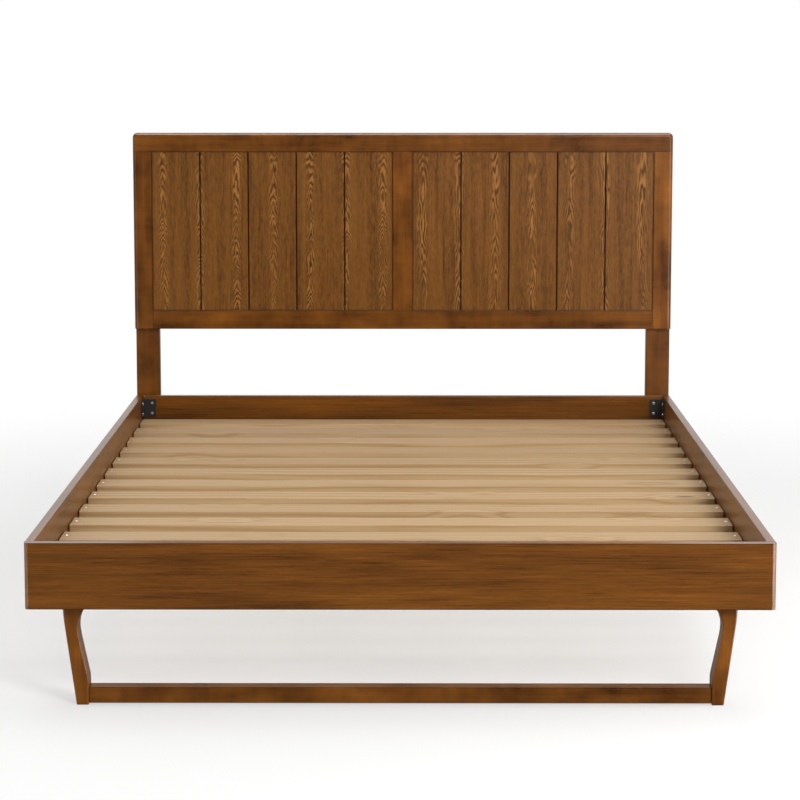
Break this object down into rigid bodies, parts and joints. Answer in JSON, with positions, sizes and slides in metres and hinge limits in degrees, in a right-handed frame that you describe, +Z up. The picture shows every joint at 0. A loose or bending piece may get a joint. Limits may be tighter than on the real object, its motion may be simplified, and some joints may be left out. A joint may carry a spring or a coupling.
{
  "type": "bed frame",
  "caption": "Queen-size wooden platform bed frame with a grooved-panel headboard on posts, splayed leg frames and a slatted deck.",
  "frame": {"origin": "on the floor under the middle of the bed's overall box", "axes": "+X to the right as seen from the foot, +Y from the foot to the headboard, +Z up"},
  "size_m": [1.613, 2.143, 1.155],
  "materials": {
    "rail_veneer": "walnut-stained veneer, fine lengthwise grain, satin lacquer",
    "stained_wood": "walnut-stained solid wood, mottled figure, satin lacquer",
    "panel_veneer": "walnut-stained veneer, upright cathedral grain, satin lacquer",
    "slat_wood": "planed pine, no lacquer",
    "zinc_steel": "bright zinc plate",
    "black_steel": "black powder coat",
    "black_plastic": "moulded, matte"
  },
  "bodies": {
    "frame": {"centre_beam": "slat_wood", "centre_leg": "stained_wood", "centre_leg_plate": "black_steel", "foot_beam_hanger": "black_steel", "foot_bearer": "stained_wood", "foot_left_corner_iron": "black_steel", "foot_left_leg": "stained_wood", "foot_leg_bolt_1": "zinc_steel", "foot_leg_bolt_2": "zinc_steel", "foot_leg_bolt_3": "zinc_steel", "foot_leg_bolt_4": "zinc_steel", "foot_rail": "rail_veneer", "foot_right_corner_iron": "black_steel", "foot_right_leg": "stained_wood", "foot_stretcher": "stained_wood", "head_beam_hanger": "black_steel", "head_bearer": "stained_wood", "head_left_corner_iron": "black_steel", "head_left_leg": "stained_wood", "head_leg_bolt_1": "zinc_steel", "head_leg_bolt_2": "zinc_steel", "head_leg_bolt_3": "zinc_steel", "head_leg_bolt_4": "zinc_steel", "head_rail": "rail_veneer", "head_right_corner_iron": "black_steel", "head_right_leg": "stained_wood", "head_stretcher": "stained_wood", "headboard_bottom_rail": "stained_wood", "headboard_centre_stile": "stained_wood", "headboard_left_bolt_1": "zinc_steel", "headboard_left_bolt_2": "zinc_steel", "headboard_left_panel": "panel_veneer", "headboard_left_post": "stained_wood", "headboard_left_stile": "stained_wood", "headboard_right_bolt_1": "zinc_steel", "headboard_right_bolt_2": "zinc_steel", "headboard_right_panel": "panel_veneer", "headboard_right_post": "stained_wood", "headboard_right_stile": "stained_wood", "headboard_top_rail": "stained_wood", "left_side_rail": "rail_veneer", "left_slat_ledge": "stained_wood", "leveler_insert": "zinc_steel", "right_side_rail": "rail_veneer", "right_slat_ledge": "stained_wood", "slat_01": "slat_wood", "slat_02": "slat_wood", "slat_03": "slat_wood", "slat_04": "slat_wood", "slat_05": "slat_wood", "slat_06": "slat_wood", "slat_07": "slat_wood", "slat_08": "slat_wood", "slat_09": "slat_wood", "slat_10": "slat_wood", "slat_11": "slat_wood", "slat_12": "slat_wood", "slat_13": "slat_wood"},
    "leveler_pad": {"leveler_pad": "black_plastic"},
    "leveler_screw": {"leveler_screw": "zinc_steel"}
  },
  "joints": [
    {"name": "leveler_travel", "type": "slide", "parent": "frame", "child": "leveler_pad", "axis": [0, 0, 1], "range_m": [-0.006, 0.006]},
    {"name": "leveler_turn", "type": "hinge", "parent": "leveler_pad", "child": "leveler_screw", "pos_m": [0, -0.014, 0.01], "axis": [0, 0, 1], "range_deg": [-1720, 1720]}
  ],
  "couplings": [
    {"joint": "leveler_travel", "follows": "leveler_turn", "m_per_rad": 0.00019894}
  ]
}
